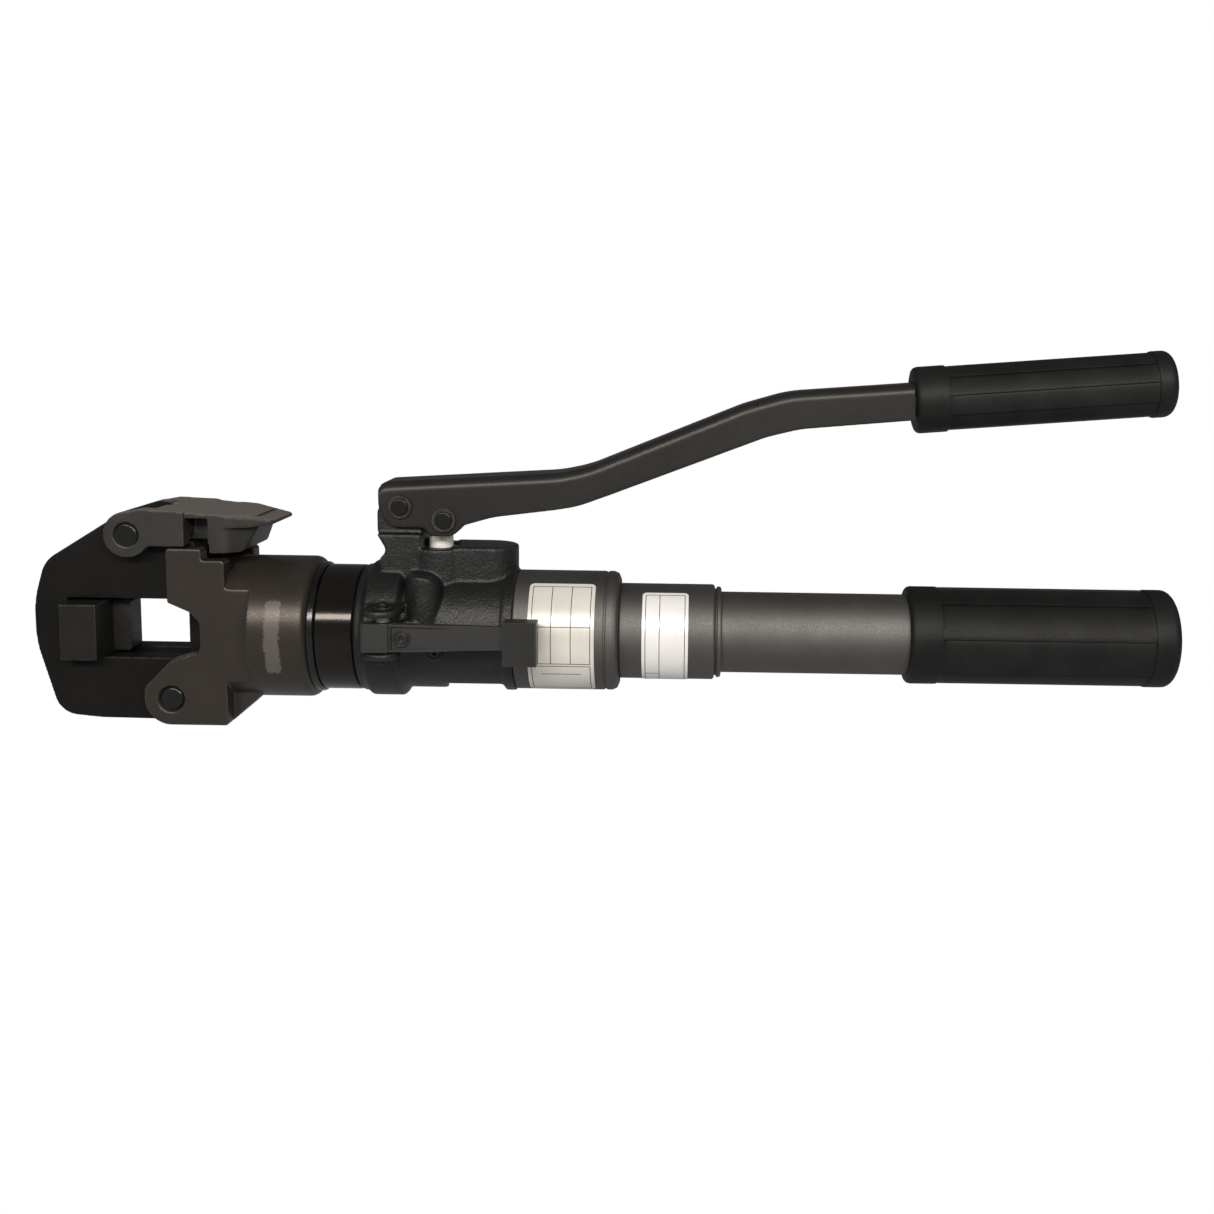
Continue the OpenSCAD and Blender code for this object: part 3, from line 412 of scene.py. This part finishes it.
def ribbed_grip(node, length, radius, bore, bands, panels, depth, matrix):
    """A moulded grip: a plain band at each end, and panels between that step like saw teeth."""
    phases = [0.0, 0.02, 0.12, 0.3, 0.5, 0.7, 0.86, 0.965, 0.999]
    first_step = math.radians(7)
    angles = [first_step + (k + p) * math.tau / panels for k in range(panels) for p in phases]
    step = 0.45 * MM
    hollow = 0.18 * MM
    groove = 0.10 * MM

    def ring(u, r, ribs):
        points = []
        for k, angle in enumerate(angles):
            phase = phases[k % len(phases)]
            cut = ribs * (depth * phase + hollow * math.sin(math.pi * phase))
            side = min(1.0, phase / 0.02, (1 - phase) / 0.035)
            r_here = r - cut - ribs * groove * (1 - side)
            points.append(matrix @ Vector((u, -r_here * math.cos(angle), r_here * math.sin(angle))))
        return points

    first, last = bands
    inner, outer = first, length - last
    profile = [(0.0, bore, 0), (0.0, radius - 2.2 * MM, 0), (0.35 * MM, radius - 1.1 * MM, 0),
               (1.1 * MM, radius - 0.35 * MM, 0), (2.4 * MM, radius, 0),
               (inner - 0.6 * MM, radius, 0), (inner, radius - 0.1 * MM, 0),
               (inner + 0.15 * MM, radius - step, 0.25), (inner + 0.9 * MM, radius - step * 0.6, 1),
               (inner + 3 * MM, radius - step * 0.5, 1), (length * 0.5, radius - step * 0.5, 1),
               (outer - 3 * MM, radius - step * 0.5, 1), (outer - 0.9 * MM, radius - step * 0.6, 1),
               (outer - 0.15 * MM, radius - step, 0.25), (outer, radius - 0.1 * MM, 0),
               (outer + 0.6 * MM, radius, 0)]
    rounding = 4.2 * MM
    turns = [math.radians(a) for a in (0, 12, 25, 38, 52, 66, 80)]
    profile += [(length - rounding * (1 - math.sin(t)), radius - rounding * (1 - math.cos(t)), 0)
                for t in turns]
    profile += [(length - 0.05 * MM, radius - rounding - 1.2 * MM, 0), (length, radius * 0.5, 0),
                (length, radius * 0.1, 0), (length - 6 * MM, radius * 0.1, 0),
                (length - 6 * MM, bore, 0)]
    piece = ring_mesh(node + "_fine", [ring(*p) for p in profile])
    piece.data.shade_smooth()
    piece.data.set_sharp_from_angle(angle=math.radians(38))
    return settled(piece, home[node], "grip_rubber", replaced=[node])


def wrapped(name, radius, x0, x1, a0, a1, corner, lift):
    """A thin sheet with rounded corners, bent round the tool's axis, a0 to a1 degrees above -Y."""
    middle, half = math.radians((a0 + a1) / 2), math.radians((a1 - a0) / 2) * radius
    turns = [math.radians(a) for a in (0, 15, 30, 45, 60, 75, 90)]
    ends = [corner * (1 - math.cos(t)) for t in turns]
    stations = [x0 + e for e in ends] + [x1 - e for e in reversed(ends)]
    spans = [half - corner + corner * math.sin(t) for t in turns]
    spans += list(reversed(spans))
    rows = 28
    outside = radius + lift
    bm = bmesh.new()
    grid = []
    for x, span in zip(stations, spans):
        line = []
        for k in range(rows + 1):
            angle = middle + span / radius * (2 * k / rows - 1)
            line.append(bm.verts.new((x, -outside * math.cos(angle), outside * math.sin(angle))))
        grid.append(line)
    for a, b in zip(grid, grid[1:]):
        for k in range(rows):
            bm.faces.new((a[k], a[k + 1], b[k + 1], b[k]))
    mesh = bpy.data.meshes.new(name)
    bm.to_mesh(mesh)
    bm.free()
    piece = linked(name, mesh)
    solid = piece.modifiers.new("thick", "SOLIDIFY")
    solid.thickness = lift - INK_THICKNESS
    solid.offset = 1.0
    applied(piece)
    bm = bmesh.new()
    bm.from_mesh(piece.data)
    low = min(math.hypot(v.co.y, v.co.z) for v in bm.verts)
    grew_outwards = low > outside - MERGE_DISTANCE
    if grew_outwards:
        for v in bm.verts:
            r = math.hypot(v.co.y, v.co.z)
            scale = (r - lift + INK_THICKNESS) / r
            v.co.y *= scale
            v.co.z *= scale
    bmesh.ops.recalc_face_normals(bm, faces=bm.faces)
    bm.to_mesh(piece.data)
    bm.free()
    piece.data.shade_smooth()
    piece.data.set_sharp_from_angle(angle=math.radians(40))
    return piece


def printed(name, radius, patches):
    """Plain inked areas on a plate: each is x0, x1, a0, a1 in metres and degrees above -Y."""
    bm = bmesh.new()
    for x0, x1, a0, a1 in patches:
        steps = max(1, int(abs(a1 - a0) / 4))
        for layer in (0.0, INK_THICKNESS):
            angles = [math.radians(a0 + (a1 - a0) * k / steps) for k in range(steps + 1)]
            line = [[bm.verts.new((x, -(radius + layer) * math.cos(a),
                                   (radius + layer) * math.sin(a)))
                     for a in angles] for x in (x0, x1)]
            if layer == 0.0:
                under = line
        for k in range(steps):
            bm.faces.new((line[0][k], line[0][k + 1], line[1][k + 1], line[1][k]))
            bm.faces.new((under[0][k], under[1][k], under[1][k + 1], under[0][k + 1]))
            bm.faces.new((line[0][k], under[0][k], under[0][k + 1], line[0][k + 1]))
            bm.faces.new((line[1][k], line[1][k + 1], under[1][k + 1], under[1][k]))
        bm.faces.new((line[0][0], line[1][0], under[1][0], under[0][0]))
        bm.faces.new((line[0][-1], under[0][-1], under[1][-1], line[1][-1]))
    bmesh.ops.recalc_face_normals(bm, faces=bm.faces)
    mesh = bpy.data.meshes.new(name)
    bm.to_mesh(mesh)
    bm.free()
    mesh.shade_smooth()
    mesh.set_sharp_from_angle(angle=math.radians(40))
    return linked(name, mesh)


def ruled(x0, x1, a0, a1, radius, columns, rows):
    """Lines of a ruled form: a border, column lines and row lines."""
    turn = math.degrees(LINE_WIDTH / radius)
    out = [(x0, x1, a0, a0 + turn), (x0, x1, a1 - turn, a1)]
    out += [(x0, x0 + LINE_WIDTH, a0, a1), (x1 - LINE_WIDTH, x1, a0, a1)]
    out += [(x - LINE_WIDTH / 2, x + LINE_WIDTH / 2, a0, a1) for x in columns]
    out += [(xa, xb, a - turn / 2, a + turn / 2) for xa, xb, a in rows]
    return out


# ---------------------------------------------------------------- the tool

for node, width in (("cylinder_barrel", 0.3), ("reservoir_shell", 0.35), ("handle_socket", 0.35),
                    ("socket_ring", 0.25), ("hinge_pin", 0.3), ("latch_pin", 0.3),
                    ("fulcrum_pin", 0.6), ("plunger_pin", 0.6), ("release_pivot_pin", 0.4),
                    ("fixed_blade", 0.3), ("fulcrum_clips", 0.15), ("plunger_pin_clips", 0.15),
                    ("release_pivot_clips", 0.15), ("release_lever", 0.12),
                    ("release_adjuster_screw", 0.15), ("dust_seal", 0.4)):
    softened(node, width * MM)
for node, voxel, rounds in (("pump_body", 0.6, 9), ("head_yoke", 0.55, 3), ("jaw", 0.55, 3),
                            ("latch", 0.5, 5), ("anvil_block", 0.4, 2), ("plunger_gland", 0.4, 1)):
    cast(node, voxel * MM, rounds)


def rolled_edges(piece, radius, half_width):
    """Round the pressed lever's two long upper edges; half_width(x) is half its width there."""
    step = 1.0 * MM
    tops = {}
    for v in piece.data.vertices:
        cell = round(v.co.x / step)
        tops[cell] = max(tops.get(cell, -1.0), v.co.z)
    for v in piece.data.vertices:
        cell = round(v.co.x / step)
        near = [c for c in (cell - 3, cell + 3) if c in tops]
        rise = 0.0
        if len(near) == 2:
            rise = (tops[near[1]] - tops[near[0]]) / ((near[1] - near[0]) * step)
        lean = math.cos(math.atan(rise))
        down = (tops[cell] - v.co.z) * lean
        inward = half_width(v.co.x) - abs(v.co.y)
        if down < radius and inward < radius:
            reach = math.hypot(radius - down, radius - inward)
            if reach > radius:
                pull = radius / reach
                v.co.z -= (radius - down) * (1 - pull) / lean
                v.co.y -= math.copysign((radius - inward) * (1 - pull), v.co.y)


def lever_half_width(x):
    wide, narrow = 13.5 * MM, 11 * MM
    narrows_from, narrows_to = -122 * MM, -25 * MM
    share = min(1.0, max(0.0, (x - narrows_from) / (narrows_to - narrows_from)))
    return wide + (narrow - wide) * share


rolled_edges(cast("pump_lever", 0.55 * MM, 5), radius=4.6 * MM, half_width=lever_half_width)

plunger = softened("pump_plunger", 0.4 * MM)
plunger.data.materials.append(pin_black)
head_from = 43.5 * MM
for face in plunger.data.polygons:
    face.material_index = int(face.center.z > head_from)


# the return spring: a smooth-shaded copy that rides on the head, standing on the head's guide
spring = cad_copy("return_spring", "return_spring_fine")
spring.data.shade_smooth()
settled(spring, "head", "spring_steel", replaced=["return_spring"])
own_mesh(spring)

grip_low, grip_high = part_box("main_grip")
ribbed_grip("main_grip", length=grip_high.x - grip_low.x, radius=grip_high.z, bore=18.65 * MM,
            bands=(14.2 * MM, 12 * MM), panels=8, depth=1.0 * MM,
            matrix=Matrix.Translation((grip_low.x, 0, 0)))
lever_grip_start = (0.0425, 0, 0.1082)
lever_grip_slope = math.radians(-4.7)
along = Matrix.Translation(lever_grip_start) @ Matrix.Rotation(lever_grip_slope, 4, "Y")
ribbed_grip("lever_grip", length=116.5 * MM, radius=15.1 * MM, bore=8.05 * MM,
            bands=(14.6 * MM, 9 * MM), panels=10, depth=0.8 * MM, matrix=along)

rating_low, rating_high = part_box("rating_plate")
reservoir_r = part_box("reservoir_shell")[1].z
rating = wrapped("rating_plate_fine", reservoir_r, rating_low.x, rating_high.x, a0=-64, a1=60,
                 corner=2.2 * MM, lift=PLATE_THICKNESS)
settled(rating, "pump_unit", "plate_foil", replaced=["rating_plate"])
x0, x1 = rating_low.x + 1.6 * MM, rating_high.x - 1.6 * MM
third = (x1 - x0) / 3
lines = ruled(x0, x1, -22, 56, reservoir_r, columns=[x0 + third, x0 + 2 * third],
              rows=[(x0, x1, 14)])
lines += ruled(x0, x1, -60, -24, reservoir_r, columns=[],
               rows=[(x0 + 0.5 * third, x1 - 0.5 * third, -34)])
rules = printed("rating_plate_rules", reservoir_r + INK_LIFT, lines)
settled(rules, "pump_unit", "plate_foil", ink)

caution_low, caution_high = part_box("caution_plate")
socket_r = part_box("handle_socket")[1].z
caution = wrapped("caution_plate_fine", socket_r, caution_low.x, caution_high.x, a0=-74, a1=63,
                  corner=2 * MM, lift=PLATE_THICKNESS)
settled(caution, "pump_unit", "plate_foil", paper, replaced=["caution_plate"])
x0, x1 = caution_low.x + 1.4 * MM, caution_high.x - 1.4 * MM
column = x0 + 0.36 * (x1 - x0)
lines = ruled(x0, x1, -70, 59, socket_r, columns=[column], rows=[(x0, column, -48)])
rules = printed("caution_plate_rules", socket_r + INK_LIFT, lines)
settled(rules, "pump_unit", "plate_foil", ink)


# ---------------------------------------------------------------- studio

def camera():
    """The photograph's viewpoint, a little above the tool and looking slightly down."""
    data = bpy.data.cameras.new("camera")
    data.lens = 39.94
    data.sensor_width = 36
    data.shift_x = -0.0684
    data.shift_y = -0.0799
    place = Matrix.Translation((-0.0576, -0.612, 0.135))
    pitch = Matrix.Rotation(math.radians(82.7), 4, "X")
    roll = Matrix.Rotation(math.radians(0.9), 4, "Z")
    cam = bpy.data.objects.new("camera", data)
    cam.matrix_world = place @ pitch @ roll
    scene.collection.objects.link(cam)
    scene.camera = cam


def softbox(name, place, target, width, height, power, colour):
    data = bpy.data.lights.new(name, "AREA")
    data.shape = "RECTANGLE"
    data.size = width
    data.size_y = height
    data.energy = power
    data.color = colour
    obj = bpy.data.objects.new(name, data)
    obj.location = place
    obj.rotation_euler = (Vector(target) - Vector(place)).to_track_quat("-Z", "Y").to_euler()
    scene.collection.objects.link(obj)


def surroundings():
    """White behind the tool; the room it reflects is dim, and brighter below than above."""
    world = bpy.data.worlds.new("studio")
    world.use_nodes = True
    tree = world.node_tree
    back = tree.nodes["Background"]
    back.inputs["Color"].default_value = (1, 1, 1, 1)
    height = tree.nodes.new("ShaderNodeSeparateXYZ")
    upward = tree.nodes.new("ShaderNodeTexCoord").outputs["Generated"]
    tree.links.new(upward, height.inputs["Vector"])
    below, above = 0.36, 0.10
    room = ranged(tree, height.outputs["Z"], -0.35, 0.25, below, above)
    seen = tree.nodes.new("ShaderNodeMath")
    seen.operation = "MAXIMUM"
    tree.links.new(room, seen.inputs[0])
    tree.links.new(tree.nodes.new("ShaderNodeLightPath").outputs["Is Camera Ray"], seen.inputs[1])
    tree.links.new(seen.outputs["Value"], back.inputs["Strength"])
    scene.world = world


camera()
softbox("key", place=(-0.05, -1.08, 0.59), target=(-0.09, 0, 0.02), width=1.8, height=0.2, power=20,
        colour=(1.0, 0.97, 0.93))
surroundings()
scene.view_settings.view_transform = "Standard"
